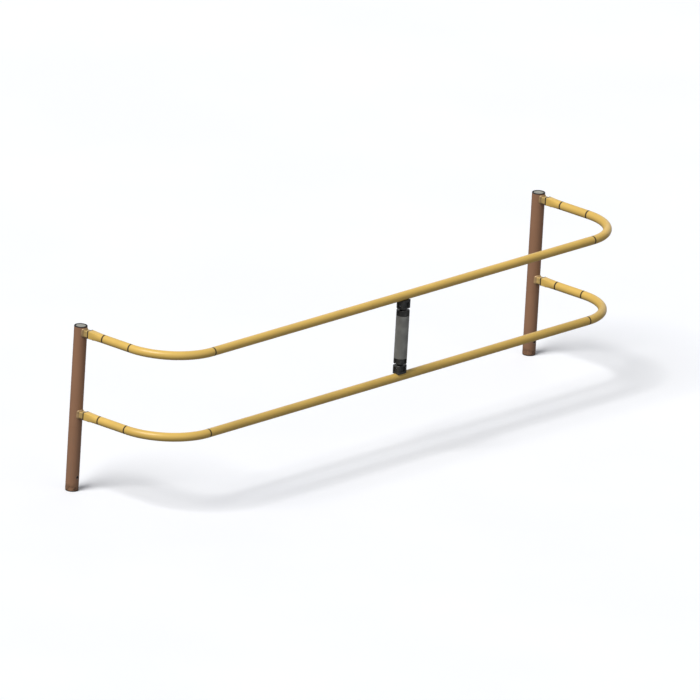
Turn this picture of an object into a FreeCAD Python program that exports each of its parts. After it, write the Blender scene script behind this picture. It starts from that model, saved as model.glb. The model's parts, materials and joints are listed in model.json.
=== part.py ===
"""Kip bar: a low double rail that plugs onto two floor-socket uprights.

Frame: +X along the rails, +Y from the rails back to the uprights, +Z up.
The origin is the centre of the footprint, level with the uprights' feet.
"""
import FreeCAD, Part
import math
import os
import Sketcher

Vector = FreeCAD.Vector

# Driving dimensions in millimetres, with what each one is.
DRIVING = [
    ("post_spacing", 3040, "left upright axis to right upright axis"),
    ("post_height", 775, "foot to top rim"),
    ("post_radius", 30.15, "2 inch pipe, outside"),
    ("post_wall", 3.2, "upright tube wall"),
    ("rail_depth", 564, "upright axis to long rail axis"),
    ("rail_drop", 27.5, "upright's top rim to upper rail axis"),
    ("rail_gap", 383, "upper rail axis to lower rail axis"),
    ("rail_radius", 20, "hand rail, outside"),
    ("rail_wall", 3, "rail tube wall"),
    ("bend_radius", 256, "elbow, on its centreline"),
    ("seam_width", 4, "joiner collar between two tubes"),
    ("cap_height", 4, "foot cap flange"),
    ("cap_radius", 29.5, "foot cap flange"),
    ("rim_height", 3, "edge ring on the upright's top"),
    ("rim_radius", 22.5, "edge ring, inside"),
    ("plug_radius", 26.85, "plug and cap, inside the upright"),
    ("plug_depth", 8, "plug in the upright's top, which stops above the upper spigot"),
    ("cap_depth", 22, "cap's skirt inside the upright's foot"),
    ("plug_wall", 3.5, "plug and cap skirt"),
    ("tenon_length", 300, "foot that stands in the floor socket"),
    ("mark_width", 2.5, "insertion mark ring"),
    ("mark_depth", 0.4, "insertion mark ring"),
    ("lock_height", 66, "locking pin hole above the foot"),
    ("lock_radius", 6.5, "hole for a 12 mm locking pin"),
    ("spigot_half", 15, "half the side of the square spigot"),
    ("spigot_corner", 4, "spigot corner"),
    ("spigot_wall", 3, "spigot wall"),
    ("spigot_root", 22, "how far the spigot starts behind the upright's axis"),
    ("spigot_reach", 106, "upright axis to spigot end"),
    ("weld_leg", 6, "fillet weld round the spigot"),
    ("socket_start", 56, "upright axis to socket mouth"),
    ("socket_end", 144, "upright axis to the socket's round end"),
    ("socket_half", 18, "half the side of the socket's square end"),
    ("socket_corner", 2.5, "socket's square corner"),
    ("socket_play", 0.5, "gap between spigot and socket"),
    ("joiner_bore", 24, "depth of the socket's round bore"),
    ("boss_radius", 7.5, "set screw boss"),
    ("boss_reach", 21.5, "rail axis to the boss's face"),
    ("screw_place", 80, "upright axis to set screw"),
    ("screw_radius", 4, "M8 set screw"),
    ("screw_length", 6, "M8 set screw"),
    ("screw_socket", 4, "hexagon socket across flats"),
    ("sleeve_long", 22, "joiner sleeve towards a straight tube"),
    ("sleeve_short", 18, "joiner sleeve towards an elbow"),
    ("sleeve_bore", 12, "joiner's hollow, radius"),
    ("barrel_radius", 30, "strut barrel, outside"),
    ("barrel_wall", 3.5, "strut barrel wall"),
    ("barrel_half", 100, "strut middle to barrel end"),
    ("nut_height", 24, "threaded nut in each barrel end"),
    ("ring_height", 26, "lock ring"),
    ("ring_slot", 16, "width of a spanner slot"),
    ("ring_slot_depth", 6, "spanner slot"),
    ("neck_gap", 8, "bare spindle between lock ring and saddle"),
    ("spindle_radius", 15, "Tr30 spindle"),
    ("spindle_inner", 45, "strut middle to spindle's inner end"),
    ("thread_pitch", 4, "spindle thread"),
    ("thread_depth", 1.2, "spindle thread"),
    ("thread_turns", 21, "grooves cut on each spindle"),
    ("stub_radius", 12, "spindle's end inside the saddle"),
    ("stub_length", 24, "spindle's end inside the saddle"),
    ("saddle_radius", 31, "saddle head"),
    ("saddle_flat", 20, "axis to the saddle's front and back flats"),
    ("saddle_wrap", 2, "how far the saddle reaches round the rail"),
    ("pocket_width", 26, "saddle pocket"),
    ("pocket_height", 24, "saddle pocket"),
    ("pocket_depth", 6, "saddle pocket, from the flats"),
    ("pin_radius", 3, "cross pin through saddle and spindle"),
    ("pin_half", 22.5, "cross pin, half its length"),
    ("liner_thickness", 2, "rubber between saddle and rail"),
    ("liner_length", 52, "liner, along the rail"),
    ("fit", 0.1, "gap at a fixed fit"),
    ("running_fit", 0.08, "gap at a turning fit"),
    ("rest_gap", 0.3, "gap where pieces of two bodies rest on each other"),
]


class Size:
    """A length that knows its number and the spreadsheet formula behind it."""

    def __init__(self, value, formula):
        self.value = float(value)
        self.formula = formula

    def __add__(self, other):
        other = as_size(other)
        return Size(self.value + other.value, f"({self.formula} + {other.formula})")

    def __sub__(self, other):
        other = as_size(other)
        return Size(self.value - other.value, f"({self.formula} - {other.formula})")

    def __mul__(self, factor):
        return Size(self.value * factor, f"({self.formula} * {factor})")

    def __truediv__(self, divisor):
        return Size(self.value / divisor, f"({self.formula} / {divisor})")

    def __neg__(self):
        return Size(-self.value, f"(-1 * {self.formula})")


def as_size(number):
    return number if isinstance(number, Size) else Size(number, repr(float(number)))


doc = FreeCAD.newDocument("KipBar")


def make_sheet():
    """Fill the spreadsheet: column A names a dimension, B holds it, C explains it."""
    sheet = doc.addObject("Spreadsheet::Sheet", "Sizes")
    sizes = {}
    for row, (name, value, meaning) in enumerate(DRIVING, start=1):
        sheet.set(f"A{row}", name)
        sheet.set(f"B{row}", str(value))
        sheet.set(f"C{row}", meaning)
        sheet.setAlias(f"B{row}", name)
        sizes[name] = Size(value, f"Sizes.{name}")
    doc.recompute()
    return sizes


S = make_sheet()
NODES = []

# A cut runs this many times past the metal that it removes.
PAST = 1.2

# Places that several pieces share.
POST_Y = (S["rail_depth"] + S["barrel_radius"] - S["post_radius"]) / 2
RAIL_Y = POST_Y - S["rail_depth"]
RAIL_Z = {
    "upper": S["post_height"] - S["rail_drop"],
    "lower": S["post_height"] - S["rail_drop"] - S["rail_gap"],
}
SIDE_X = {"left": -(S["post_spacing"] / 2), "right": S["post_spacing"] / 2}
RAIL_BORE = S["rail_radius"] - S["rail_wall"]
POST_BORE = S["post_radius"] - S["post_wall"]
LONG_HALF = S["post_spacing"] / 2 - S["bend_radius"] - S["seam_width"]
BEND_START = S["rail_depth"] - S["bend_radius"]
STRUT_HALF = S["rail_gap"] / 2
SADDLE_BASE = S["barrel_half"] + S["ring_height"] + S["neck_gap"]
PIN_HEIGHT = SADDLE_BASE + S["stub_length"] / 2

ALONG_Z = FreeCAD.Rotation()
ALONG_X = FreeCAD.Rotation(Vector(0, 1, 0), 90)
AGAINST_X = FreeCAD.Rotation(Vector(0, 1, 0), -90)
FORWARD = FreeCAD.Rotation(Vector(1, 0, 0), 90)
QUARTER = FreeCAD.Rotation(Vector(0, 0, 1), 90)
UPSIDE_DOWN = FreeCAD.Rotation(Vector(1, 0, 0), 180)


def place(piece, x, y, z, rotation=ALONG_Z):
    """Put a piece at a place whose coordinates follow the spreadsheet."""
    piece.Placement = FreeCAD.Placement(Vector(0, 0, 0), rotation)
    for axis, size in zip("xyz", (x, y, z)):
        piece.setExpression(f"Placement.Base.{axis}", as_size(size).formula)


def node(piece, label):
    """Name a finished piece and list it for export."""
    piece.Label = label
    NODES.append(piece)
    return piece


def new_body(name):
    return doc.addObject("PartDesign::Body", name)


def sketch_on(body, role, offset=0):
    """A sketch on one of the body's own origin planes, moved along its normal."""
    sketch = body.newObject("Sketcher::SketchObject", body.Name + "_sketch")
    plane = next(f for f in body.Origin.OriginFeatures if f.Role == role)
    sketch.AttachmentSupport = (plane, [""])
    sketch.MapMode = "FlatFace"
    sketch.setExpression("AttachmentOffset.Base.z", as_size(offset).formula)
    return sketch


def dimension(sketch, constraint, size):
    """Add a dimension to a sketch and bind it to its formula."""
    index = sketch.addConstraint(constraint)
    label = f"size{index}"
    sketch.renameConstraint(index, label)
    sketch.setExpression(f"Constraints.{label}", size.formula)


def pin_point(sketch, curve, point, x, y):
    """Fix a point of a curve at (x, y) in the sketch."""
    for kind, axis, size in (("DistanceX", -2, as_size(x)), ("DistanceY", -1, as_size(y))):
        if size.value == 0:
            sketch.addConstraint(Sketcher.Constraint("PointOnObject", curve, point, axis))
        else:
            dimension(sketch, Sketcher.Constraint(kind, -1, 1, curve, point, size.value), size)


def add_circle(sketch, radius, x=0, y=0):
    centre = Vector(as_size(x).value, as_size(y).value, 0)
    circle = Part.Circle(centre, Vector(0, 0, 1), as_size(radius).value)
    index = sketch.addGeometry(circle, False)
    pin_point(sketch, index, 3, x, y)
    dimension(sketch, Sketcher.Constraint("Radius", index, circle.Radius), as_size(radius))


def add_polygon(sketch, points):
    """A closed outline of straight lines through points, each given as (x, y)."""
    flat = [Vector(as_size(x).value, as_size(y).value, 0) for x, y in points]
    first = sketch.GeometryCount
    last = first + len(points) - 1
    for start, end in zip(flat, flat[1:] + flat[:1]):
        sketch.addGeometry(Part.LineSegment(start, end), False)
    for index, (x, y) in enumerate(points, start=first):
        following = index + 1 if index < last else first
        sketch.addConstraint(Sketcher.Constraint("Coincident", index, 2, following, 1))
        pin_point(sketch, index, 1, x, y)


def add_rectangle(sketch, left, right, low, high):
    add_polygon(sketch, [(left, low), (right, low), (right, high), (left, high)])


def add_rounded_square(sketch, half, corner):
    """A square of side 2 * half about the sketch's origin, with rounded corners."""
    half, corner = as_size(half), as_size(corner)
    flat = half - corner
    sides = [
        ((flat, -half), (-flat, -half)),
        ((-half, -flat), (-half, flat)),
        ((-flat, half), (flat, half)),
        ((half, flat), (half, -flat)),
    ]
    lines = []
    for start, end in sides:
        ends = [Vector(x.value, y.value, 0) for x, y in (start, end)]
        line = sketch.addGeometry(Part.LineSegment(*ends), False)
        pin_point(sketch, line, 1, *start)
        pin_point(sketch, line, 2, *end)
        lines.append(line)
    centres = [(-flat, -flat), (-flat, flat), (flat, flat), (flat, -flat)]
    for turn, (x, y) in enumerate(centres):
        start_angle = math.pi - turn * math.pi / 2
        circle = Part.Circle(Vector(x.value, y.value, 0), Vector(0, 0, 1), corner.value)
        arc = sketch.addGeometry(Part.ArcOfCircle(circle, start_angle, start_angle + math.pi / 2), False)
        before, after = lines[turn], lines[(turn + 1) % len(lines)]
        sketch.addConstraint(Sketcher.Constraint("Coincident", before, 2, arc, 2))
        sketch.addConstraint(Sketcher.Constraint("Coincident", after, 1, arc, 1))
        dimension(sketch, Sketcher.Constraint("Radius", arc, corner.value), corner)


def pad(body, sketch, length, backwards=False):
    feature = body.newObject("PartDesign::Pad", body.Name + "_pad")
    feature.Profile = sketch
    feature.Reversed = backwards
    feature.setExpression("Length", as_size(length).formula)
    return feature


def pocket(body, sketch, length, forwards=False, both_ways=False):
    """Cut the sketch into the body, against its normal unless forwards or both ways."""
    feature = body.newObject("PartDesign::Pocket", body.Name + "_pocket")
    feature.Profile = sketch
    feature.Reversed = forwards
    if both_ways:
        feature.SideType = "Symmetric"
    feature.setExpression("Length", as_size(length).formula)
    return feature


def revolve(body, points):
    """Turn a profile of (radius, height) points about the body's Z axis."""
    sketch = sketch_on(body, "XZ_Plane")
    add_polygon(sketch, points)
    feature = body.newObject("PartDesign::Revolution", body.Name + "_turned")
    feature.Profile = sketch
    feature.ReferenceAxis = (sketch, ["V_Axis"])
    feature.Angle = 360
    return feature


def groove(body, points):
    """Turn a cut of (radius, height) points about the body's Z axis."""
    sketch = sketch_on(body, "XZ_Plane")
    add_polygon(sketch, points)
    feature = body.newObject("PartDesign::Groove", body.Name + "_groove")
    feature.Profile = sketch
    feature.ReferenceAxis = (sketch, ["V_Axis"])
    feature.Angle = 360
    return feature


def repeat_round_z(body, feature, count):
    """Repeat a cut evenly round the body's Z axis."""
    pattern = body.newObject("PartDesign::PolarPattern", body.Name + "_pattern")
    pattern.Originals = [feature]
    axis = next(f for f in body.Origin.OriginFeatures if f.Role == "Z_Axis")
    pattern.Axis = (axis, [""])
    pattern.Angle = 360
    pattern.Occurrences = count
    body.Tip = pattern
    return pattern


def tube(name, radius, bore, start, length):
    """A round tube along its own Z axis."""
    body = new_body(name)
    sketch = sketch_on(body, "XY_Plane", start)
    add_circle(sketch, radius)
    add_circle(sketch, bore)
    pad(body, sketch, length)
    return body


# ---------------------------------------------------------------- uprights


def make_upright(side):
    """Upright tube, with windows for its spigots, a locking hole and a depth mark."""
    name = f"{side}_upright_tube"
    top = S["post_height"] - S["rim_height"]
    body = tube(name, S["post_radius"], POST_BORE, S["cap_height"], top - S["cap_height"])
    for height in RAIL_Z.values():
        sketch = sketch_on(body, "XZ_Plane")
        reach = S["spigot_half"] + S["fit"]
        add_rectangle(sketch, -reach, reach, height - reach, height + reach)
        pocket(body, sketch, S["post_radius"] * PAST, forwards=True)
    sketch = sketch_on(body, "XZ_Plane")
    add_circle(sketch, S["lock_radius"], 0, S["lock_height"])
    pocket(body, sketch, S["post_radius"] * 2 * PAST, both_ways=True)
    inner = S["post_radius"] - S["mark_depth"]
    outer = S["post_radius"] + S["mark_depth"]
    low = S["tenon_length"]
    high = low + S["mark_width"]
    groove(body, [(inner, low), (outer, low), (outer, high), (inner, high)])
    place(body, SIDE_X[side], POST_Y, 0)
    return node(body, name)


def make_edge_ring(side):
    """Rubber ring that covers the upright's cut end, its outer edge bevelled."""
    name = f"{side}_top_edge_ring"
    body = new_body(name)
    bevel = 0.8
    outer, top = S["post_radius"], S["rim_height"]
    revolve(body, [
        (S["rim_radius"], 0),
        (outer, 0),
        (outer, top - bevel),
        (outer - bevel, top),
        (S["rim_radius"], top),
    ])
    place(body, SIDE_X[side], POST_Y, S["post_height"] - S["rim_height"])
    return node(body, name)


def make_top_plug(side):
    """Plug with a crowned face inside the edge ring and a skirt inside the tube."""
    name = f"{side}_top_plug"
    body = new_body(name)
    crown = 0.7
    face = S["rim_radius"] - S["fit"]
    skirt = S["plug_radius"]
    hollow = skirt - S["plug_wall"]
    revolve(body, [
        (0, -S["plug_wall"]),
        (hollow, -S["plug_wall"]),
        (hollow, -S["plug_depth"]),
        (skirt, -S["plug_depth"]),
        (skirt, 0),
        (face, 0),
        (face, S["rim_height"] - 2 * crown),
        (0, S["rim_height"] - crown),
    ])
    place(body, SIDE_X[side], POST_Y, S["post_height"] - S["rim_height"])
    return node(body, name)


def make_foot_cap(side):
    """Cap under the upright: a bevelled flange and a skirt inside the tube."""
    name = f"{side}_foot_cap"
    body = new_body(name)
    bevel = 1
    skirt = S["plug_radius"]
    hollow = skirt - S["plug_wall"]
    top = S["cap_height"] + S["cap_depth"]
    revolve(body, [
        (0, 0),
        (S["cap_radius"] - bevel, 0),
        (S["cap_radius"], bevel),
        (S["cap_radius"], S["cap_height"]),
        (skirt, S["cap_height"]),
        (skirt, top),
        (hollow, top),
        (hollow, S["cap_height"]),
        (0, S["cap_height"]),
    ])
    place(body, SIDE_X[side], POST_Y, 0)
    return node(body, name)


def make_spigot(side, level):
    """Square tube that stands forward out of the upright; its own Z is forward."""
    name = f"{side}_{level}_spigot"
    body = new_body(name)
    sketch = sketch_on(body, "XY_Plane", -S["spigot_root"])
    add_rounded_square(sketch, S["spigot_half"], S["spigot_corner"])
    add_rounded_square(sketch, S["spigot_half"] - S["spigot_wall"], S["spigot_corner"] - S["spigot_wall"])
    pad(body, sketch, S["spigot_root"] + S["spigot_reach"])
    place(body, SIDE_X[side], POST_Y, RAIL_Z[level], FORWARD)
    return node(body, name)


def make_spigot_weld(side, level):
    """Fillet weld round a spigot, shaped to the upright behind it."""
    name = f"{side}_{level}_spigot_weld"
    body = new_body(name)
    inner = S["spigot_half"] + S["fit"] / 2
    wide = sketch_on(body, "XY_Plane", S["post_radius"] - S["weld_leg"])
    add_rounded_square(wide, S["spigot_half"] + S["weld_leg"] * 1.2, S["spigot_corner"] + S["weld_leg"])
    narrow = sketch_on(body, "XY_Plane", S["post_radius"] + S["weld_leg"])
    add_rounded_square(narrow, inner + S["fit"] * 5, S["spigot_corner"])
    bead = body.newObject("PartDesign::AdditiveLoft", name + "_bead")
    bead.Profile = wide
    bead.Sections = [narrow]
    hole = sketch_on(body, "XY_Plane", S["post_radius"] - S["weld_leg"] * 2)
    add_rounded_square(hole, inner, S["spigot_corner"])
    pocket(body, hole, S["weld_leg"] * 4, forwards=True)
    upright = sketch_on(body, "XZ_Plane")
    add_circle(upright, S["post_radius"] + S["fit"] / 2)
    pocket(body, upright, S["post_radius"] * 2 * PAST, both_ways=True)
    place(body, SIDE_X[side], POST_Y, RAIL_Z[level], FORWARD)
    return node(body, name)


# -------------------------------------------------------------- rail frame


def make_socket(side, level):
    """Socket end: square mouth over the spigot, round where the tube begins."""
    name = f"{side}_{level}_socket_end"
    body = new_body(name)
    mouth = sketch_on(body, "XY_Plane", S["socket_start"])
    add_rounded_square(mouth, S["socket_half"], S["socket_corner"])
    round_end = sketch_on(body, "XY_Plane", S["socket_end"])
    add_circle(round_end, S["rail_radius"])
    shell = body.newObject("PartDesign::AdditiveLoft", name + "_shell")
    shell.Profile = mouth
    shell.Sections = [round_end]
    boss = sketch_on(body, "XZ_Plane")
    add_circle(boss, S["boss_radius"], 0, S["screw_place"])
    pad(body, boss, S["boss_reach"])
    hollow = sketch_on(body, "XY_Plane", S["socket_start"])
    play = S["socket_play"]
    add_rounded_square(hollow, S["spigot_half"] + play, S["spigot_corner"])
    pocket(body, hollow, S["spigot_reach"] + play * 2 - S["socket_start"], forwards=True)
    bore = sketch_on(body, "XY_Plane", S["socket_end"])
    add_circle(bore, RAIL_BORE)
    pocket(body, bore, S["joiner_bore"])
    screw = sketch_on(body, "XZ_Plane")
    add_circle(screw, S["screw_radius"], 0, S["screw_place"])
    pocket(body, screw, S["boss_reach"] * PAST, forwards=True)
    place(body, SIDE_X[side], POST_Y, RAIL_Z[level], FORWARD)
    return node(body, name)


def make_return_tube(side, level):
    """Straight tube from the socket end forward to the elbow."""
    name = f"{side}_{level}_return_tube"
    start = S["socket_end"] + S["seam_width"]
    length = BEND_START - S["seam_width"] - start
    body = tube(name, S["rail_radius"], RAIL_BORE, start, length)
    place(body, SIDE_X[side], POST_Y, RAIL_Z[level], FORWARD)
    return node(body, name)


def make_elbow(side, level):
    """Quarter bend from the return tube into the long rail."""
    name = f"{side}_{level}_elbow"
    body = new_body(name)
    sketch = sketch_on(body, "XZ_Plane")
    add_circle(sketch, S["rail_radius"], -S["bend_radius"], 0)
    add_circle(sketch, RAIL_BORE, -S["bend_radius"], 0)
    bend = body.newObject("PartDesign::Revolution", name + "_bend")
    bend.Profile = sketch
    bend.ReferenceAxis = (sketch, ["V_Axis"])
    bend.Angle = 90
    inward = S["bend_radius"] if side == "left" else -S["bend_radius"]
    turn = ALONG_Z if side == "left" else QUARTER
    place(body, SIDE_X[side] + inward, POST_Y - BEND_START, RAIL_Z[level], turn)
    return node(body, name)


def make_long_tube(level):
    """The long rail, the bar that is gripped."""
    name = f"{level}_long_tube"
    body = tube(name, S["rail_radius"], RAIL_BORE, -LONG_HALF, LONG_HALF * 2)
    place(body, 0, RAIL_Y, RAIL_Z[level], ALONG_X)
    return node(body, name)


def make_joiner(name):
    """Joiner: a collar that shows as the seam, and a sleeve into each tube."""
    body = new_body(name)
    recess = S["fit"] * 4
    long_sleeve = RAIL_BORE - S["fit"]
    short_sleeve = RAIL_BORE - S["fit"] * 11
    revolve(body, [
        (S["sleeve_bore"], -S["sleeve_long"]),
        (long_sleeve, -S["sleeve_long"]),
        (long_sleeve, 0),
        (S["rail_radius"] - recess, 0),
        (S["rail_radius"] - recess, S["seam_width"]),
        (short_sleeve, S["seam_width"]),
        (short_sleeve, S["seam_width"] + S["sleeve_short"]),
        (S["sleeve_bore"], S["seam_width"] + S["sleeve_short"]),
    ])
    return body


def make_rail_joiners(level):
    """The joiners of one rail, three on each side, as one group."""
    joiners = []
    height = RAIL_Z[level]
    for side, outward in (("left", AGAINST_X), ("right", ALONG_X)):
        for spot, start in (("socket", S["socket_end"]), ("return", BEND_START - S["seam_width"])):
            joiner = make_joiner(f"{side}_{level}_{spot}_joiner")
            place(joiner, SIDE_X[side], POST_Y - start, height, FORWARD)
            joiners.append(joiner)
        joiner = make_joiner(f"{side}_{level}_rail_joiner")
        end = -LONG_HALF if side == "left" else LONG_HALF
        place(joiner, end, RAIL_Y, height, outward)
        joiners.append(joiner)
    group = doc.addObject("Part::Compound", f"{level}_rail_joiners")
    group.Links = joiners
    return node(group, f"{level}_rail_joiners")


def make_set_screw(side, level):
    """Set screw up through the socket's boss; its own Z is down, away from the spigot."""
    body = new_body(f"{side}_{level}_screw")
    shank = sketch_on(body, "XY_Plane")
    add_circle(shank, S["screw_radius"] - S["fit"] / 2)
    pad(body, shank, S["screw_length"])
    drive = sketch_on(body, "XY_Plane", S["screw_length"])
    corner = S["screw_socket"] / math.sqrt(3)
    angles = [math.radians(60 * step) for step in range(6)]
    add_polygon(drive, [(corner * math.cos(a), corner * math.sin(a)) for a in angles])
    pocket(body, drive, S["screw_length"] / 2)
    tip = RAIL_Z[level] - S["spigot_half"] - S["rest_gap"]
    place(body, SIDE_X[side], POST_Y - S["screw_place"], tip, UPSIDE_DOWN)
    return body


def make_set_screws():
    """The four set screws that lock the sockets on their spigots."""
    group = doc.addObject("Part::Compound", "socket_set_screws")
    group.Links = [make_set_screw(side, level) for side in SIDE_X for level in RAIL_Z]
    return node(group, "socket_set_screws")


# ------------------------------------------------------------------- strut
# Each strut piece is drawn with the strut's middle as its origin and its own
# Z towards its rail, so the lower ones are the upper ones turned over.


def place_in_strut(piece, level):
    middle = RAIL_Z["lower"] + STRUT_HALF
    rotation = ALONG_Z if level == "upper" else UPSIDE_DOWN
    place(piece, 0, RAIL_Y, middle, rotation)


def make_barrel():
    """Barrel that is turned to lengthen the strut."""
    name = "strut_barrel"
    bore = S["barrel_radius"] - S["barrel_wall"]
    body = tube(name, S["barrel_radius"], bore, -S["barrel_half"], S["barrel_half"] * 2)
    place_in_strut(body, "upper")
    return node(body, name)


def make_barrel_nut(level):
    """Threaded nut fixed in the barrel's end."""
    name = f"{level}_barrel_nut"
    outer = S["barrel_radius"] - S["barrel_wall"] - S["fit"]
    start = S["barrel_half"] - S["nut_height"]
    bore = S["spindle_radius"] + S["running_fit"]
    body = tube(name, outer, bore, start, S["nut_height"])
    place_in_strut(body, level)
    return node(body, name)


def make_lock_ring(level):
    """Ring nut that locks the spindle, with four hook spanner slots."""
    name = f"{level}_lock_ring"
    body = new_body(name)
    bevel = 1.2
    bore = S["spindle_radius"] + S["running_fit"]
    outer = S["barrel_radius"]
    low = S["barrel_half"]
    high = low + S["ring_height"]
    revolve(body, [
        (bore, low),
        (outer - bevel, low),
        (outer, low + bevel),
        (outer, high - bevel),
        (outer - bevel, high),
        (bore, high),
    ])
    sketch = sketch_on(body, "XY_Plane", low)
    half = S["ring_slot"] / 2
    add_rectangle(sketch, outer - S["ring_slot_depth"], outer * PAST, -half, half)
    slot = pocket(body, sketch, S["ring_height"], forwards=True)
    repeat_round_z(body, slot, 4)
    place_in_strut(body, level)
    return node(body, name)


def bore_for_pin(body):
    """Bore the hole that the saddle's cross pin goes through, along the rail."""
    sketch = sketch_on(body, "YZ_Plane")
    add_circle(sketch, S["pin_radius"] + S["fit"] / 2, 0, PIN_HEIGHT)
    pocket(body, sketch, S["saddle_radius"] * 2 * PAST, both_ways=True)


def make_spindle(level):
    """Threaded spindle with a plain end that is pinned in the saddle."""
    name = f"{level}_spindle"
    body = new_body(name)
    bevel = 1.5
    shoulder = SADDLE_BASE
    radius = S["spindle_radius"]
    revolve(body, [
        (0, S["spindle_inner"]),
        (radius - bevel, S["spindle_inner"]),
        (radius, S["spindle_inner"] + bevel),
        (radius, shoulder),
        (S["stub_radius"], shoulder),
        (S["stub_radius"], shoulder + S["stub_length"]),
        (0, shoulder + S["stub_length"]),
    ])
    root = radius - S["thread_depth"]
    flank = S["thread_depth"] * 0.8
    first = shoulder - S["thread_pitch"] * 0.6
    thread = groove(body, [(root, first), (radius, first - flank), (radius, first + flank)])
    pattern = body.newObject("PartDesign::LinearPattern", name + "_thread")
    pattern.Originals = [thread]
    axis = next(f for f in body.Origin.OriginFeatures if f.Role == "Z_Axis")
    pattern.Direction = (axis, [""])
    pattern.Reversed = True
    pattern.Mode = "Spacing"
    pattern.setExpression("Offset", S["thread_pitch"].formula)
    pattern.setExpression("Occurrences", S["thread_turns"].formula)
    body.Tip = pattern
    bore_for_pin(body)
    place_in_strut(body, level)
    return node(body, name)


def make_saddle(level):
    """Saddle head: flats front and back, four pockets, and a seat for the rail."""
    name = f"{level}_saddle"
    body = new_body(name)
    bevel = 1.5
    low = SADDLE_BASE
    rail_side = STRUT_HALF - S["rail_radius"]
    high = rail_side + S["saddle_wrap"]
    outer = S["saddle_radius"]
    revolve(body, [
        (0, low),
        (outer - bevel, low),
        (outer, low + bevel),
        (outer, high),
        (0, high),
    ])
    for facing in (1, -1):
        trim = sketch_on(body, "XY_Plane", low)
        front = S["saddle_flat"] * facing
        add_rectangle(trim, -(outer * PAST), outer * PAST, front, front + outer * facing)
        pocket(body, trim, high - low, forwards=True)
    middle = low + (rail_side - low) / 2
    half_width = S["pocket_width"] / 2
    half_height = S["pocket_height"] / 2
    for facing in (1, -1):
        flat_pocket = sketch_on(body, "XY_Plane", middle - half_height)
        floor = (S["saddle_flat"] - S["pocket_depth"]) * facing
        add_rectangle(flat_pocket, -half_width, half_width, floor, floor + outer * facing)
        pocket(body, flat_pocket, S["pocket_height"], forwards=True)
        side_pocket = sketch_on(body, "XY_Plane", middle - half_height)
        floor = (outer - S["pocket_depth"] * 1.3) * facing
        add_rectangle(side_pocket, floor, floor + outer * facing, -(half_width * 0.8), half_width * 0.8)
        pocket(body, side_pocket, S["pocket_height"], forwards=True)
    stub = sketch_on(body, "XY_Plane", low)
    add_circle(stub, S["stub_radius"] + S["fit"])
    pocket(body, stub, S["stub_length"] + S["fit"] * 5, forwards=True)
    bore_for_pin(body)
    seat = sketch_on(body, "YZ_Plane")
    add_circle(seat, S["rail_radius"] + S["liner_thickness"], 0, STRUT_HALF)
    pocket(body, seat, outer * 2 * PAST, both_ways=True)
    place_in_strut(body, level)
    return node(body, name)


def make_saddle_pin(level):
    """Cross pin that holds the spindle's end in the saddle."""
    name = f"{level}_saddle_pin"
    body = new_body(name)
    sketch = sketch_on(body, "YZ_Plane", -S["pin_half"])
    add_circle(sketch, S["pin_radius"], 0, PIN_HEIGHT)
    pad(body, sketch, S["pin_half"] * 2)
    place_in_strut(body, level)
    return node(body, name)


def make_liner(level):
    """Rubber liner in the saddle's seat, cut from a tube round the rail."""
    name = f"{level}_saddle_liner"
    length = S["liner_length"]
    outer = S["rail_radius"] + S["liner_thickness"] - S["fit"]
    inner = S["rail_radius"] + S["rest_gap"]
    body = new_body(name)
    ring = sketch_on(body, "YZ_Plane", -(length / 2))
    add_circle(ring, outer, 0, STRUT_HALF)
    add_circle(ring, inner, 0, STRUT_HALF)
    pad(body, ring, length)
    trim = sketch_on(body, "YZ_Plane")
    top = STRUT_HALF - S["rail_radius"] + S["saddle_wrap"]
    add_rectangle(trim, -(outer * PAST), outer * PAST, top, STRUT_HALF + outer * PAST)
    pocket(body, trim, length * PAST, both_ways=True)
    place_in_strut(body, level)
    return node(body, name)


def check_document():
    """Stop if any object failed, any piece is broken, or any cut removed nothing."""
    doc.recompute()
    for item in doc.Objects:
        if "Invalid" in item.State or "Error" in item.State:
            raise RuntimeError(f"{item.Label} failed: {item.State}")
    cuts = ("Pocket", "Groove", "PolarPattern", "LinearPattern")
    for item in doc.Objects:
        if item.TypeId.removeprefix("PartDesign::") in cuts and item.BaseFeature:
            removed = item.BaseFeature.Shape.Volume - item.Shape.Volume
            if removed < 1:
                raise RuntimeError(f"{item.Label} cut nothing: {removed:.3f}")
    for piece in NODES:
        if piece.Shape.isNull() or not piece.Shape.isValid():
            raise RuntimeError(f"{piece.Label} has no valid shape")


def write_parts():
    os.makedirs("parts", exist_ok=True)
    for piece in NODES:
        piece.Shape.exportStep(f"parts/{piece.Label}.step")
        print(f"{piece.Label}: {len(piece.Shape.Solids)} solids, {piece.Shape.Volume / 1000:.1f} cm3")


for side in SIDE_X:
    make_upright(side)
    make_edge_ring(side)
    make_top_plug(side)
    make_foot_cap(side)
    for level in RAIL_Z:
        make_spigot(side, level)
        make_spigot_weld(side, level)
        make_socket(side, level)
        make_return_tube(side, level)
        make_elbow(side, level)
make_set_screws()
make_barrel()
for level in RAIL_Z:
    make_long_tube(level)
    make_rail_joiners(level)
    make_barrel_nut(level)
    make_lock_ring(level)
    make_spindle(level)
    make_saddle(level)
    make_saddle_pin(level)
    make_liner(level)

check_document()
write_parts()
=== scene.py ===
"""Looks for the kip bar: materials, detail pieces, light, floor and camera.

Everything is in metres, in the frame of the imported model: +X along the rails,
+Y back towards the uprights, +Z up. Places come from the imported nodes' boxes.
"""
import json
import math
import random

import bmesh
import bpy
from mathutils import Matrix, Vector, noise


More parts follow.
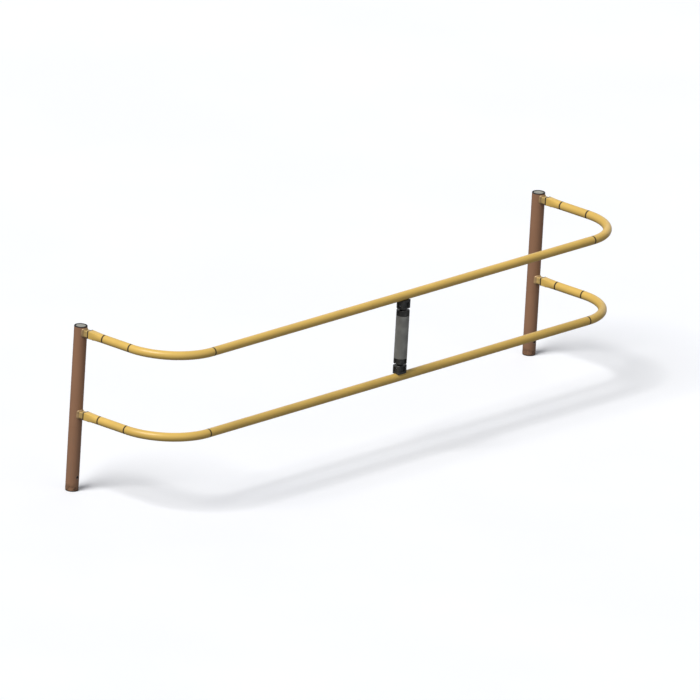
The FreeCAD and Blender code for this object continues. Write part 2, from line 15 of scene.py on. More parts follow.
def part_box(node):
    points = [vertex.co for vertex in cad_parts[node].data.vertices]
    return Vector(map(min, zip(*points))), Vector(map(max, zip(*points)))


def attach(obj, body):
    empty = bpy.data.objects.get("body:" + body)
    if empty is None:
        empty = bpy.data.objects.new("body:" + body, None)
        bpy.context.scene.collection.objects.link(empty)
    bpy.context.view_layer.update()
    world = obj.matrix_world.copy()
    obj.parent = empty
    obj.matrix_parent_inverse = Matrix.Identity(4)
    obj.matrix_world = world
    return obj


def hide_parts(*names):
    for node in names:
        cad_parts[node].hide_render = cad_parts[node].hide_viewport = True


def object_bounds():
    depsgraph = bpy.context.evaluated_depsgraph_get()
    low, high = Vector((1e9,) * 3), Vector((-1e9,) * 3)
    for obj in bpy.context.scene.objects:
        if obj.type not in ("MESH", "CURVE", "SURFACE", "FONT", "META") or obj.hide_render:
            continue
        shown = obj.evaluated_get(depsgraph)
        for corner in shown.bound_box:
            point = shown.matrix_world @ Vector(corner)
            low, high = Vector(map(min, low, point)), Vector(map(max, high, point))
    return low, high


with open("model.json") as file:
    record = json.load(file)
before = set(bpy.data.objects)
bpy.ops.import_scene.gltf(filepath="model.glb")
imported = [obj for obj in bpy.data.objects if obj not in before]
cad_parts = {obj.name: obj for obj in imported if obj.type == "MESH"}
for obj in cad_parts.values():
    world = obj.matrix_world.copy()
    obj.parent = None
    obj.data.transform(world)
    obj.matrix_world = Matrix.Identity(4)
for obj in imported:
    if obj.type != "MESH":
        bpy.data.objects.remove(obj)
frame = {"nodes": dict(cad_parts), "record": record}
NODES = frame["nodes"]
CAD_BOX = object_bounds()
LOW, HIGH = (Vector(corner) for corner in CAD_BOX)

SIDES = ("left", "right")
LEVELS = ("upper", "lower")


def centre(node):
    low, high = (Vector(corner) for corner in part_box(node))
    return (low + high) / 2


# Places that materials and pieces share.
POST_Y = centre("left_upright_tube").y
POST_X = centre("right_upright_tube").x
POST_RADIUS = (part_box("left_upright_tube")[1][0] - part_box("left_upright_tube")[0][0]) / 2
LONG_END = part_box("upper_long_tube")[1][0]
RAIL_Y = centre("upper_long_tube").y
SOCKET_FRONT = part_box("left_upper_socket_end")[0][1]
RETURN_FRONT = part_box("left_upper_return_tube")[0][1]
SOCKET_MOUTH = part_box("left_upper_socket_end")[1][1]
SPIGOT_HALF = (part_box("left_upper_spigot")[1][0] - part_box("left_upper_spigot")[0][0]) / 2
SPIGOT_CORNER = 0.004
STUB_RADIUS = 0.012
SEAM_HALF = 0.0020
INSERTION_MARK = 0.30
LOCK_HEIGHT = 0.066
LOCK_RADIUS = 0.0065


# ---------------------------------------------------------------- materials

# Colours are linear RGB. The RGBA ones cover another finish where a mask says so.
YELLOW = (0.74, 0.487, 0.120)
BROWN = (0.34, 0.178, 0.101)
BARE_IRON = (0.17, 0.16, 0.15, 1.0)
BARE_STEEL = (0.30, 0.29, 0.28, 1.0)
GRIME = (0.050, 0.028, 0.010, 1.0)
SEALER = (0.060, 0.036, 0.012, 1.0)
BLACK_DIP = (0.024, 0.019, 0.014, 1.0)
DUST = (0.24, 0.17, 0.12, 1.0)

# Share of its reach over which a fading mark is at full strength.
FULL_SHARE = 0.35
# How far each mark reaches, and how deep the lines are, in metres.
GRIME_REACH = 0.0070
SEALER_REACH = 0.0037
DIP_REACH = 0.0066
SOFT_EDGE = 0.0004
PAINT_CHIP = 0.0011
CASTING_CHIP = 0.0012
METAL_RUB = 0.0008
PLASTIC_RUB = 0.0006
WELD_LINE = 0.0012
WELD_LINE_DEPTH = 0.00025
PARTING_LINE = 0.0009
PARTING_DEPTH = 0.0004

# Noise stretched into lines along an axis.
ALONG_X = (0.12, 0.6, 1.0)
ALONG_Z = (1.0, 1.0, 0.18)
EVEN = (1.0, 1.0, 1.0)


class Graph:
    """A material's node tree, with short calls for the nodes used here."""

    def __init__(self, name):
        self.material = bpy.data.materials.new(name)
        self.material.use_nodes = True
        self.tree = self.material.node_tree
        self.shader = self.tree.nodes["Principled BSDF"]
        self.place = self.add("ShaderNodeTexCoord").outputs["Object"]

    def add(self, kind, **settings):
        made = self.tree.nodes.new(kind)
        for key, value in settings.items():
            setattr(made, key, value)
        return made

    def wire(self, source, socket):
        """Link a socket, or set it where the source is a plain value."""
        if isinstance(source, bpy.types.NodeSocket):
            self.tree.links.new(source, socket)
        else:
            socket.default_value = source

    def constant(self, **values):
        """Set numbers that are the same all over on the shader's own sockets."""
        for name, value in values.items():
            self.shader.inputs[name.replace("_", " ")].default_value = value

    def stretch(self, x, y, z):
        mapping = self.add("ShaderNodeMapping")
        mapping.inputs["Scale"].default_value = (x, y, z)
        self.wire(self.place, mapping.inputs["Vector"])
        return mapping.outputs["Vector"]

    def noise(self, scale, detail=2.0, roughness=0.5, place=None):
        made = self.add("ShaderNodeTexNoise")
        made.inputs["Scale"].default_value = scale
        made.inputs["Detail"].default_value = detail
        made.inputs["Roughness"].default_value = roughness
        self.wire(place or self.place, made.inputs["Vector"])
        return made.outputs["Fac"]

    def cells(self, scale):
        made = self.add("ShaderNodeTexVoronoi")
        made.inputs["Scale"].default_value = scale
        self.wire(self.place, made.inputs["Vector"])
        return made.outputs["Distance"]

    def math(self, operation, first, second=0.0, clamp=False):
        made = self.add("ShaderNodeMath", operation=operation, use_clamp=clamp)
        self.wire(first, made.inputs[0])
        self.wire(second, made.inputs[1])
        return made.outputs[0]

    def times(self, first, second):
        return self.math("MULTIPLY", first, second)

    def ramp(self, value, low, high, out_low=0.0, out_high=1.0):
        """Map low..high to out_low..out_high, smoothly and clamped."""
        made = self.add("ShaderNodeMapRange", interpolation_type="SMOOTHSTEP")
        made.inputs["From Min"].default_value = low
        made.inputs["From Max"].default_value = high
        made.inputs["To Min"].default_value = out_low
        made.inputs["To Max"].default_value = out_high
        self.wire(value, made.inputs["Value"])
        return made.outputs["Result"]

    def axis(self, letter):
        made = self.add("ShaderNodeSeparateXYZ")
        self.wire(self.place, made.inputs[0])
        return made.outputs[letter]

    def away(self, letter, place, mirrored=False):
        """Distance from the plane where the axis letter equals place, or -place too."""
        value = self.axis(letter)
        if mirrored:
            value = self.math("ABSOLUTE", value)
        return self.math("ABSOLUTE", self.math("SUBTRACT", value, place))

    def mix(self, factor, first, second):
        made = self.add("ShaderNodeMix", data_type="RGBA")
        self.wire(factor, made.inputs["Factor"])
        colours = [socket for socket in made.inputs if socket.type == "RGBA"]
        for source, socket in zip((first, second), colours):
            self.wire(source, socket)
        return next(socket for socket in made.outputs if socket.type == "RGBA")

    def edges(self, radius):
        """1 along sharp edges of the piece, fading to 0 about radius away."""
        rounded = self.add("ShaderNodeBevel", samples=6)
        rounded.inputs["Radius"].default_value = radius
        facing = self.add("ShaderNodeVectorMath", operation="DOT_PRODUCT")
        self.wire(rounded.outputs["Normal"], facing.inputs[0])
        self.wire(self.add("ShaderNodeNewGeometry").outputs["Normal"], facing.inputs[1])
        return self.ramp(facing.outputs["Value"], 0.80, 0.985, 1.0, 0.0)

    def bump(self, height, distance, below=None):
        made = self.add("ShaderNodeBump")
        made.inputs["Distance"].default_value = distance
        made.inputs["Strength"].default_value = 1.0
        self.wire(height, made.inputs["Height"])
        if below is not None:
            self.wire(below, made.inputs["Normal"])
        return made.outputs["Normal"]

    def finish(self, colour, roughness, normal):
        self.wire(colour, self.shader.inputs["Base Color"])
        self.wire(roughness, self.shader.inputs["Roughness"])
        self.wire(normal, self.shader.inputs["Normal"])
        return self.material


def shade(colour, factor):
    """The colour made lighter or darker, as an opaque RGBA value."""
    return tuple(min(1.0, channel * factor) for channel in colour[:3]) + (1.0,)


def near_plane(graph, letter, place, reach, mirrored=False):
    """1 on the plane where the axis letter equals place, fading to 0 at reach."""
    away = graph.away(letter, place, mirrored)
    return graph.ramp(away, reach * FULL_SHARE, reach, 1.0, 0.0)


def band(graph, distance, reach, wander_scale, wander_detail, wander, cover):
    """A crisp band of the given cover whose edge wanders inward from the reach."""
    wandering = graph.times(graph.noise(wander_scale, wander_detail), wander)
    return graph.ramp(graph.math("ADD", distance, wandering), reach, reach + SOFT_EDGE, cover, 0.0)


def powder_coat(name, colour, peel_scale, peel_depth, gloss, scuff_stretch, layers, relief):
    """Powder coat over welded tube: orange peel, scuffs, layers of wear and dirt."""
    graph = Graph(name)
    cloud = graph.ramp(graph.noise(5.0, 3.0), 0.3, 0.7)
    paint = graph.mix(cloud, shade(colour, 0.95), shade(colour, 1.05))
    fleck = graph.ramp(graph.noise(peel_scale * 2.3, 2.0), 0.62, 0.72, 0.0, 0.3)
    paint = graph.mix(fleck, paint, shade(colour, 0.8))
    lines = graph.noise(190.0, 4.0, 0.65, graph.stretch(*scuff_stretch))
    where = graph.ramp(graph.noise(7.0, 2.0), 0.5, 0.68)
    scuff = graph.times(graph.ramp(lines, 0.66, 0.74), where)
    paint = graph.mix(graph.times(scuff, 0.4), paint, shade(colour, 1.3))
    for layer in layers:
        mask, cover = layer(graph)
        paint = graph.mix(mask, paint, cover)
    rough = graph.ramp(graph.noise(40.0, 3.0), 0.25, 0.75, gloss - 0.05, gloss + 0.07)
    rough = graph.math("ADD", rough, graph.times(scuff, 0.2), clamp=True)
    welds = graph.bump(relief(graph), WELD_LINE_DEPTH)
    peel = graph.bump(graph.noise(peel_scale, 3.0, 0.55), peel_depth, welds)
    normal = graph.bump(graph.times(scuff, -1.0), 0.00008, peel)
    graph.constant(Coat_Weight=0.12, Coat_Roughness=0.22, Specular_IOR_Level=0.38)
    return graph.finish(paint, rough, normal)


def metal(name, colour, rough, grain, depth=0.00006, dull=0.2, metallic=1.0, bright_edges=0.0):
    """Bare or plated metal: directional grain, dull patches, rubbed edges."""
    graph = Graph(name)
    lines = graph.noise(420.0, 3.0, 0.6, graph.stretch(*grain))
    patch = graph.ramp(graph.noise(26.0, 4.0), 0.38, 0.66)
    tone = graph.mix(patch, shade(colour, 1.0 - dull), shade(colour, 1.0 + dull * 0.6))
    tone = graph.mix(graph.ramp(lines, 0.35, 0.65, 0.0, 0.3), tone, shade(colour, 0.7))
    if bright_edges:
        rubbed = graph.times(graph.edges(METAL_RUB), bright_edges)
        tone = graph.mix(rubbed, tone, shade(colour, 1.9))
    roughness = graph.ramp(graph.noise(60.0, 3.0), 0.3, 0.7, rough - 0.07, rough + 0.1)
    graph.constant(Metallic=metallic)
    return graph.finish(tone, roughness, graph.bump(lines, depth))


def moulded(name, colour, rough, pebble, dust=0.25):
    """Moulded plastic or rubber: a fine pebble, faint dust, rubbed edges."""
    graph = Graph(name)
    settled = graph.ramp(graph.noise(38.0, 4.0, 0.6), 0.45, 0.75, 0.0, dust)
    tone = graph.mix(settled, shade(colour, 0.92), shade(colour, 1.6))
    rubbed = graph.times(graph.edges(PLASTIC_RUB), 0.35)
    tone = graph.mix(rubbed, tone, shade(colour, 1.8))
    roughness = graph.ramp(graph.noise(70.0, 2.0), 0.3, 0.7, rough - 0.06, rough + 0.08)
    graph.constant(Specular_IOR_Level=0.4)
    return graph.finish(tone, roughness, graph.bump(graph.cells(pebble), 0.00008))


def cast_enamel(name, colour):
    """Sand casting under black enamel: coarse grain, parting line, worn edges."""
    graph = Graph(name)
    sand = graph.noise(330.0, 4.0, 0.65)
    lump = graph.noise(70.0, 2.0)
    tone = graph.mix(graph.ramp(lump, 0.4, 0.7), shade(colour, 0.75), shade(colour, 1.5))
    worn = graph.ramp(graph.noise(120.0, 5.0, 0.7), 0.63, 0.72, 0.0, 0.4)
    tone = graph.mix(worn, tone, BARE_IRON)
    gaps = graph.ramp(graph.noise(240.0, 3.0), 0.42, 0.6)
    chipped = graph.times(graph.edges(CASTING_CHIP), gaps)
    tone = graph.mix(graph.times(chipped, 0.85), tone, BARE_IRON)
    roughness = graph.ramp(sand, 0.3, 0.7, 0.34, 0.58)
    parting = graph.bump(near_plane(graph, "Y", RAIL_Y, PARTING_LINE), PARTING_DEPTH)
    base = graph.bump(lump, 0.0004, parting)
    graph.constant(Coat_Weight=0.15, Coat_Roughness=0.3)
    return graph.finish(tone, roughness, graph.bump(sand, 0.00025, base))


def seam_grime(letter, place, mirrored):
    """Grime that has worked out of a seam on to the paint beside it."""

    def layer(graph):
        edge = near_plane(graph, letter, place, GRIME_REACH, mirrored)
        broken = graph.ramp(graph.noise(420.0, 4.0, 0.65), 0.35, 0.62, 0.2, 0.6)
        return graph.times(edge, broken), GRIME

    return layer


def seam_sealer(letter, place, mirrored):
    """A thin line of brown sealer that was wiped along each side of a collar."""

    def layer(graph):
        away = graph.away(letter, place, mirrored)
        return band(graph, away, SEALER_REACH, 160.0, 3.0, 0.0009, 0.94), SEALER

    return layer


def mouth_band(graph):
    """The socket's mouth is dipped in black, which keeps the spigot from rattling."""
    return band(graph, graph.away("Y", SOCKET_MOUTH), DIP_REACH, 90.0, 2.0, 0.0008, 1.0), BLACK_DIP


def chipped_edges(graph):
    """Paint knocked off the sharp edges, down to steel."""
    gaps = graph.ramp(graph.noise(210.0, 4.0, 0.6), 0.46, 0.6)
    chipped = graph.times(graph.edges(PAINT_CHIP), gaps)
    return graph.times(chipped, 0.8), BARE_STEEL


def hand_polish(graph):
    """The stretch of rail that hands use most is a shade paler and cleaner."""
    middle = graph.ramp(graph.away("X", 0.0), 0.25, 1.05, 1.0, 0.0)
    cloud = graph.noise(9.0, 4.0, 0.6, graph.stretch(0.5, 1.0, 1.0))
    patchy = graph.ramp(cloud, 0.42, 0.66, 0.0, 0.22)
    return graph.times(middle, patchy), shade(YELLOW, 1.22)


def socket_wear(graph):
    """Rubbing marks on the stretch of upright that goes into the floor socket."""
    below = graph.ramp(graph.axis("Z"), INSERTION_MARK - 0.05, INSERTION_MARK, 1.0, 0.0)
    streaks = graph.noise(150.0, 4.0, 0.6, graph.stretch(1.0, 1.0, 0.05))
    return graph.times(below, graph.ramp(streaks, 0.52, 0.7, 0.0, 0.45)), DUST


def foot_dirt(graph):
    """Dirt that gathers round the foot."""
    low = graph.ramp(graph.axis("Z"), 0.004, 0.05, 0.8, 0.0)
    broken = graph.ramp(graph.noise(60.0, 4.0), 0.35, 0.65)
    return graph.times(low, broken), GRIME


def pin_wear(graph):
    """A ring of bare steel where the locking pin knocks beside its hole."""
    sideways, upwards = graph.away("X", POST_X, True), graph.away("Z", LOCK_HEIGHT)
    squares = graph.times(sideways, sideways), graph.times(upwards, upwards)
    away = graph.math("SQRT", graph.math("ADD", *squares))
    ring = graph.ramp(away, LOCK_RADIUS + 0.0008, LOCK_RADIUS + 0.0035, 1.0, 0.0)
    gaps = graph.ramp(graph.noise(330.0, 3.0), 0.4, 0.56)
    return graph.times(ring, gaps), BARE_STEEL


def faces(graph, letter, sign):
    """1 where the surface faces along the axis letter, or against it if sign is -1."""
    parts = graph.add("ShaderNodeSeparateXYZ")
    graph.wire(graph.add("ShaderNodeNewGeometry").outputs["Normal"], parts.inputs[0])
    return graph.ramp(graph.times(parts.outputs[letter], sign), 0.90, 0.96)


def rail_seams(graph):
    """The scarfed weld line under each straight rail tube."""
    fade = 0.001
    straight = graph.ramp(graph.away("X", 0.0), LONG_END - fade, LONG_END, 1.0, 0.0)
    under_long = graph.times(near_plane(graph, "Y", RAIL_Y, WELD_LINE), straight)
    behind = graph.ramp(graph.axis("Y"), RETURN_FRONT - fade, RETURN_FRONT)
    under_return = graph.times(near_plane(graph, "X", POST_X, WELD_LINE, True), behind)
    lines = graph.math("MAXIMUM", under_long, under_return)
    return graph.times(lines, faces(graph, "Z", -1.0))


def post_seam(graph):
    """The scarfed weld line down the back of each upright."""
    line = near_plane(graph, "X", POST_X, WELD_LINE, True)
    return graph.times(line, faces(graph, "Y", 1.0))


# The middle of each collar: axis, place, and whether both ends of the axis have it.
SEAMS = (
    ("X", LONG_END + SEAM_HALF, True),
    ("Y", SOCKET_FRONT - SEAM_HALF, False),
    ("Y", RETURN_FRONT - SEAM_HALF, False),
)
RAIL_LAYERS = (
    hand_polish,
    *(seam_grime(*seam) for seam in SEAMS),
    *(seam_sealer(*seam) for seam in SEAMS),
    chipped_edges,
    mouth_band,
)
POST_LAYERS = (socket_wear, foot_dirt, pin_wear)

FINISHES = {
    "rail_yellow": (powder_coat, {
        "colour": YELLOW, "peel_scale": 520.0, "peel_depth": 0.00012, "gloss": 0.38,
        "scuff_stretch": ALONG_X, "layers": RAIL_LAYERS, "relief": rail_seams,
    }),
    "upright_brown": (powder_coat, {
        "colour": BROWN, "peel_scale": 700.0, "peel_depth": 0.0003, "gloss": 0.5,
        "scuff_stretch": ALONG_Z, "layers": POST_LAYERS, "relief": post_seam,
    }),
    "spigot_gold": (metal, {
        "colour": (0.70, 0.49, 0.18), "rough": 0.42, "grain": (1.0, 0.06, 1.0),
        "metallic": 0.35, "bright_edges": 0.3,
    }),
    "weld_steel": (metal, {
        "colour": (0.50, 0.33, 0.16), "rough": 0.5, "grain": EVEN,
        "depth": 0.0001, "dull": 0.3, "metallic": 0.3,
    }),
    "barrel_grey": (metal, {
        "colour": (0.31, 0.31, 0.29), "rough": 0.42, "grain": (1.0, 1.0, 12.0),
        "metallic": 0.2, "bright_edges": 0.4,
    }),
    "thread_steel": (metal, {
        "colour": (0.16, 0.16, 0.155), "rough": 0.32, "grain": (1.0, 1.0, 6.0),
        "metallic": 0.9, "bright_edges": 0.5,
    }),
    "steel_zinc": (metal, {
        "colour": (0.55, 0.56, 0.58), "rough": 0.3, "grain": EVEN, "bright_edges": 0.3,
    }),
    "plastic_black": (moulded, {"colour": (0.018, 0.015, 0.012), "rough": 0.5, "pebble": 900.0}),
    "plug_grey": (moulded, {"colour": (0.33, 0.33, 0.29), "rough": 0.5, "pebble": 700.0}),
    "rubber_black": (moulded, {
        "colour": (0.020, 0.019, 0.018), "rough": 0.62, "pebble": 1100.0, "dust": 0.2,
    }),
    "cast_black": (cast_enamel, {"colour": (0.040, 0.040, 0.038)}),
}
MATERIALS = {name: make(name, **values) for name, (make, values) in FINISHES.items()}
SLOT_OF = {part["node"]: part["material_slot"] for part in frame["record"]["subparts"]}

for name, thing in NODES.items():
    thing.data.materials.clear()
    thing.data.materials.append(MATERIALS[SLOT_OF[name]])


# ------------------------------------------------------------ detail pieces

SHARP_ANGLE = 25.0


def add_piece(name, mesh, body, slot, node):
    """Put a finished mesh in the scene on its body, with its finish, and hide the CAD node it
    stands in for.
    """
    for face in mesh.polygons:
        face.use_smooth = True
    mesh.materials.append(MATERIALS[slot])
    piece = bpy.data.objects.new(name, mesh)
    bpy.context.scene.collection.objects.link(piece)
    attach(piece, body)
    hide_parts(node)


def finish_mesh(name, form, sharp_angle=None):
    """Turn a form into a mesh with its faces outward, and sharp above the angle in degrees."""
    bmesh.ops.recalc_face_normals(form, faces=form.faces)
    mesh = bpy.data.meshes.new(name)
    form.to_mesh(mesh)
    form.free()
    if sharp_angle:
        mesh.set_sharp_from_angle(angle=math.radians(sharp_angle))
    return mesh


def round_square(half, corner, steps):
    """Evenly spaced (x, z, outward x, outward z) round a square with round corners."""
    flat = 2 * (half - corner)
    side = flat + corner * math.pi / 2
    for step in range(steps):
        quarter, along = divmod(4 * side * step / steps, side)
        if along < flat:
            place, out = Vector((half, along - flat / 2)), Vector((1.0, 0.0))
        else:
            angle = (along - flat) / corner
            out = Vector((math.cos(angle), math.sin(angle)))
            place = Vector((half - corner, half - corner)) + out * corner
        turn = Matrix.Rotation(quarter * math.pi / 2, 2)
        yield (*(turn @ place), *(turn @ out))


WELD_LEG = 0.0060
WELD_CROWN = 0.0009
WELD_SWELL = 0.10
SWELL_SCALE = 160.0
RIPPLE_LENGTH = 0.0021
RIPPLE_HEIGHT = 0.00042
RIPPLE_CURVE = 0.0016
# How far the bead's hidden sides reach into the upright and into the spigot.
ROOT_IN_POST = 0.0010
ROOT_IN_SPIGOT = 0.0008
WELD_STEPS = 420
WELD_FACE = 9


def weld_mesh(name, middle, chance):
    """A fillet of overlapping crescents between the upright and a square spigot."""
    drift = chance.uniform(0.0, 50.0)
    perimeter = 8 * SPIGOT_HALF - (8 - 2 * math.pi) * SPIGOT_CORNER
    ripple = perimeter / round(perimeter / RIPPLE_LENGTH)
    rows = []
    outline = round_square(SPIGOT_HALF, SPIGOT_CORNER, WELD_STEPS)
    for step, (x, z, out_x, out_z) in enumerate(outline):
        along = perimeter * step / WELD_STEPS
        spot = Vector((x, z, 0.0)) * SWELL_SCALE + Vector((0.0, 0.0, drift))
        leg = WELD_LEG * (1.0 + WELD_SWELL * noise.noise(spot))
        profile = [(leg, -ROOT_IN_POST)]
        for part in range(WELD_FACE + 1):
            share = part / WELD_FACE
            crescent = (along - RIPPLE_CURVE * math.sin(math.pi * share)) / ripple % 1.0
            crest = WELD_CROWN + RIPPLE_HEIGHT * (1.0 - crescent) ** 0.6
            proud = crest * math.sin(math.pi * share) / math.sqrt(2)
            profile.append((leg * (1.0 - share) + proud, leg * share + proud))
        profile += [(-ROOT_IN_SPIGOT, WELD_LEG * 0.9), (-ROOT_IN_SPIGOT, -ROOT_IN_POST)]
        rows.append([
            Vector((
                middle.x + x + out_x * out,
                POST_Y - math.sqrt(POST_RADIUS ** 2 - (x + out_x * out) ** 2) - forward,
                middle.z + z + out_z * out,
            ))
            for out, forward in profile
        ])
    return loop_mesh(name, rows)


def loop_mesh(name, rows):
    """A closed skin over rows of points, where the last row meets the first."""
    form = bmesh.new()
    verts = [[form.verts.new(point) for point in row] for row in rows]
    for here, there in zip(verts, verts[1:] + verts[:1]):
        for index in range(len(here)):
            after = (index + 1) % len(here)
            form.faces.new((here[index], there[index], there[after], here[after]))
    return finish_mesh(name, form)


THREAD_PITCH = 0.0040
THREAD_CREST = 0.0150
THREAD_ROOT = 0.0138
THREAD_STEPS = 72
# Turns made before the first cut. The odd 0.005 keeps every corner off both cuts.
THREAD_LEAD_IN = 1.505
# One pitch of the thread: how far along it, and the radius there.
THREAD_FORM = ((0.0, THREAD_CREST), (0.34, THREAD_CREST), (0.47, THREAD_ROOT), (0.87, THREAD_ROOT))


def spindle_mesh(name, level):
    """A spindle with a real helix, right-handed above the barrel and left-handed below."""
    hand = 1 if level == "upper" else -1
    spindle_low, spindle_high = (corner[2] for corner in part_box(f"{level}_spindle"))
    saddle_low, saddle_high = (corner[2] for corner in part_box(f"{level}_saddle"))
    inner, outer, neck = (
        (spindle_low, spindle_high, saddle_low)
        if hand == 1
        else (spindle_high, spindle_low, saddle_high)
    )
    turns = math.ceil(abs(neck - inner) / THREAD_PITCH) + 3
    form = bmesh.new()
    rows = []
    for step in range(turns * THREAD_STEPS + 1):
        angle = hand * math.tau * step / THREAD_STEPS
        row = []
        for share, radius in THREAD_FORM:
            height = inner + hand * THREAD_PITCH * (step / THREAD_STEPS + share - THREAD_LEAD_IN)
            x, y = radius * math.cos(angle), RAIL_Y + radius * math.sin(angle)
            row.append(form.verts.new((x, y, height)))
        rows.append(row)
    last = len(THREAD_FORM) - 1
    for step in range(len(rows) - 1):
        here, there = rows[step], rows[step + 1]
        for index in range(last):
            form.faces.new((here[index], there[index], there[index + 1], here[index + 1]))
        if step + THREAD_STEPS + 1 < len(rows):
            above, beyond = rows[step + THREAD_STEPS], rows[step + THREAD_STEPS + 1]
            form.faces.new((here[last], there[last], beyond[0], above[0]))
    bmesh.ops.contextual_create(form, geom=cut_across(form, inner, hand))
    cut_across(form, neck, -hand)
    stub = ((STUB_RADIUS, neck), (STUB_RADIUS, outer), (0.0, outer))
    lathe(form, 0.0, RAIL_Y, stub, THREAD_STEPS)
    rim = [edge for edge in form.edges if edge.is_boundary]
    bmesh.ops.triangle_fill(form, edges=rim, use_beauty=True, normal=(0.0, 0.0, hand))
    return finish_mesh(name, form, SHARP_ANGLE)


def cut_across(form, height, keep):
    """Cut level at the height, keep what lies above (1) or below (-1), return the cut's edges."""
    cut = bmesh.ops.bisect_plane(
        form,
        geom=form.verts[:] + form.edges[:] + form.faces[:],
        plane_co=(0.0, 0.0, height),
        plane_no=(0.0, 0.0, keep),
        clear_inner=True,
    )
    return [item for item in cut["geom_cut"] if isinstance(item, bmesh.types.BMEdge)]


def lathe(form, x, y, outline, steps):
    """Turn an outline of (radius, height) points round the upright line through x, y."""
    rings = []
    for radius, height in outline:
        angles = (math.tau * step / steps for step in range(steps))
        rings.append([
            form.verts.new((x + radius * math.cos(angle), y + radius * math.sin(angle), height))
            for angle in angles
        ])
    for below, above in zip(rings, rings[1:]):
        for index in range(steps):
            after = (index + 1) % steps
            form.faces.new((below[index], below[after], above[after], above[index]))
    bmesh.ops.remove_doubles(form, verts=[vert for ring in rings for vert in ring], dist=1e-7)


PLUG_FACE = 0.0224
PLUG_CROWN = 0.0007
PLUG_WALL = 0.0035
RING_RADIUS = 0.0150
RING_HALF = 0.0008
RING_DEPTH = 0.0005
FACE_EDGE = 0.0004
GATE_RADIUS = 0.0020
GATE_DEPTH = 0.0006
PLUG_STEPS = 120


def plug_mesh(name, node, shoulder):
    """A crowned plug with a turned ring and a gate mark in its face."""
    low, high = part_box(node)
    skirt = (high[0] - low[0]) / 2

    def crown(radius, sunk=0.0):
        return radius, high[2] - PLUG_CROWN * radius / PLUG_FACE - sunk

    outline = (
        crown(0.0, GATE_DEPTH),
        crown(GATE_RADIUS - FACE_EDGE, GATE_DEPTH),
        crown(GATE_RADIUS),
        crown(RING_RADIUS - RING_HALF),
        crown(RING_RADIUS - RING_HALF / 2, RING_DEPTH),
        crown(RING_RADIUS + RING_HALF / 2, RING_DEPTH),
        crown(RING_RADIUS + RING_HALF),
        crown(PLUG_FACE - FACE_EDGE),
        crown(PLUG_FACE, FACE_EDGE),
        (PLUG_FACE, shoulder),
        (skirt, shoulder),
        (skirt, low[2]),
        (skirt - PLUG_WALL, low[2]),
        (skirt - PLUG_WALL, shoulder - PLUG_WALL),
        (0.0, shoulder - PLUG_WALL),
    )
    form = bmesh.new()
    lathe(form, (low[0] + high[0]) / 2, (low[1] + high[1]) / 2, outline, PLUG_STEPS)
    return finish_mesh(name, form, SHARP_ANGLE)


CHANCE = random.Random(41)

for side in SIDES:
    for level in LEVELS:
        bead = f"{side}_{level}_weld_bead"
        mesh = weld_mesh(bead, centre(f"{side}_{level}_spigot"), CHANCE)
        add_piece(bead, mesh, "uprights", "weld_steel", f"{side}_{level}_spigot_weld")

for side in SIDES:
    plug = f"{side}_moulded_plug"
    mesh = plug_mesh(plug, f"{side}_top_plug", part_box(f"{side}_upright_tube")[1][2])
    add_piece(plug, mesh, "uprights", "plug_grey", f"{side}_top_plug")

for level in LEVELS:
    screw = f"{level}_threaded_spindle"
    mesh = spindle_mesh(screw, level)
    add_piece(screw, mesh, f"{level}_jack", "thread_steel", f"{level}_spindle")


# ------------------------------------------------------ floor, light, camera

FLOOR_HALF = 30.0
FLOOR_DARK = (0.92, 0.935, 0.975, 1.0)
FLOOR_PALE = (0.94, 0.953, 0.985, 1.0)


def floor_material():
    """Pale matt studio floor with the faintest mottling."""
    graph = Graph("studio_floor")
    tone = graph.mix(graph.ramp(graph.noise(0.9, 3.0), 0.3, 0.7), FLOOR_DARK, FLOOR_PALE)
    rough = graph.ramp(graph.noise(30.0, 3.0), 0.3, 0.7, 0.75, 0.9)
    graph.constant(Specular_IOR_Level=0.15)
    return graph.finish(tone, rough, graph.bump(graph.noise(420.0, 2.0), 0.0001))


def make_floor():
    far = FLOOR_HALF
    mesh = bpy.data.meshes.new("studio_floor")
    corners = [(-far, -far, 0.0), (far, -far, 0.0), (far, far, 0.0), (-far, far, 0.0)]
    mesh.from_pydata(corners, [], [(0, 1, 2, 3)])
    floor = bpy.data.objects.new("studio_floor", mesh)
    floor.location.z = LOW.z
    floor.data.materials.append(floor_material())
    # The floor throws no light back up, so that undersides stay in shade.
    floor.visible_diffuse = False
    floor.visible_glossy = False
    bpy.context.scene.collection.objects.link(floor)


# The camera looks from the front left and a little above, through a long lens
# from far off, so parallel edges stay parallel. It leans a few degrees.
AZIMUTH = math.radians(-48.556)
ELEVATION = math.radians(18.519)
ROLL = math.radians(3.365)
VIEW_WIDTH = 3.140
VIEW_DISTANCE = 130.0
SENSOR = 0.036
CLIP_START = 10.0
CLIP_END = 400.0
# What the camera aims at, measured from the middle of the object.
AIM_RIGHT = -0.0140
AIM_UP = 0.0258

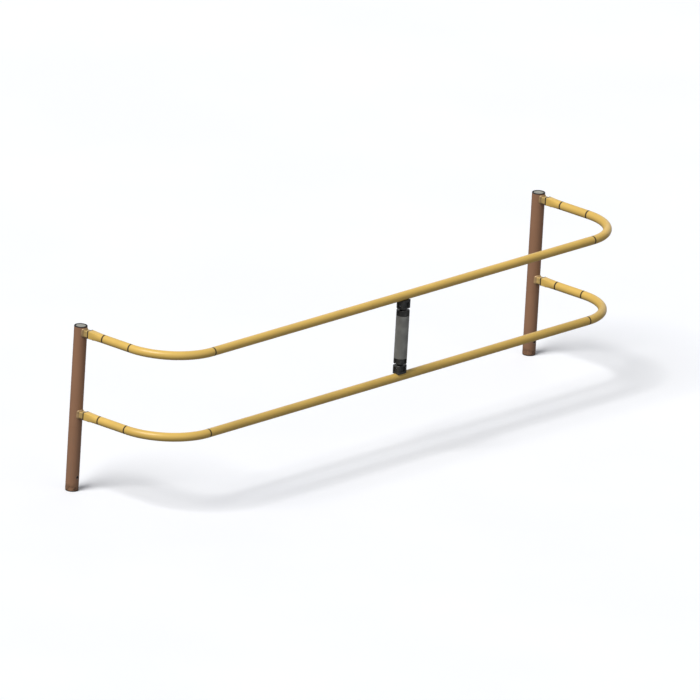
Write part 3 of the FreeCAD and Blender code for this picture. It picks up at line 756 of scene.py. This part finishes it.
BACK = Vector((
    math.sin(AZIMUTH) * math.cos(ELEVATION),
    -math.cos(AZIMUTH) * math.cos(ELEVATION),
    math.sin(ELEVATION),
))
LEVEL_RIGHT = Vector((math.cos(AZIMUTH), math.sin(AZIMUTH), 0.0))
LEVEL_UP = BACK.cross(LEVEL_RIGHT)
RIGHT = LEVEL_RIGHT * math.cos(ROLL) + LEVEL_UP * math.sin(ROLL)
UP = LEVEL_UP * math.cos(ROLL) - LEVEL_RIGHT * math.sin(ROLL)


def make_camera():
    lens = bpy.data.cameras.new("camera")
    lens.sensor_width = SENSOR * 1000
    lens.lens = SENSOR * 1000 * VIEW_DISTANCE / VIEW_WIDTH
    lens.clip_start = CLIP_START
    lens.clip_end = CLIP_END
    camera = bpy.data.objects.new("camera", lens)
    bpy.context.scene.collection.objects.link(camera)
    aim = (LOW + HIGH) / 2 + RIGHT * AIM_RIGHT + UP * AIM_UP
    turned = Matrix((RIGHT, UP, BACK)).transposed()
    camera.matrix_world = Matrix.Translation(aim + BACK * VIEW_DISTANCE) @ turned.to_4x4()
    bpy.context.scene.camera = camera


WORLD_COLOUR = (0.93, 0.95, 1.0, 1.0)
WORLD_STRENGTH = 0.22
# Each light: where it shines from, its strength, its spread in degrees and its colour.
SUNS = {
    "key": (RIGHT * -0.36 + UP * 0.68 + BACK * 0.64, 3.05, 30.0, (1.0, 0.99, 0.97)),
    "fill": (RIGHT * 0.7 + UP * 0.2 + BACK * 0.7, 0.3, 60.0, (0.95, 0.97, 1.0)),
    "rear": (RIGHT * 0.3 + UP * 0.45 - BACK * 0.85, 0.45, 60.0, (0.95, 0.97, 1.0)),
}


def make_sun(name, towards, strength, spread, colour):
    """A distant soft light that shines from the direction towards."""
    lamp = bpy.data.lights.new(name, "SUN")
    lamp.energy = strength
    lamp.angle = math.radians(spread)
    lamp.color = colour
    sun = bpy.data.objects.new(name, lamp)
    sun.rotation_mode = "QUATERNION"
    sun.rotation_quaternion = towards.to_track_quat("Z", "Y")
    bpy.context.scene.collection.objects.link(sun)


def make_light():
    world = bpy.data.worlds.new("studio")
    world.use_nodes = True
    background = world.node_tree.nodes["Background"]
    background.inputs["Color"].default_value = WORLD_COLOUR
    background.inputs["Strength"].default_value = WORLD_STRENGTH
    bpy.context.scene.world = world
    for name, settings in SUNS.items():
        make_sun(name, *settings)
    bpy.context.scene.view_settings.view_transform = "Standard"


make_floor()
make_camera()
make_light()

bpy.context.view_layer.update()
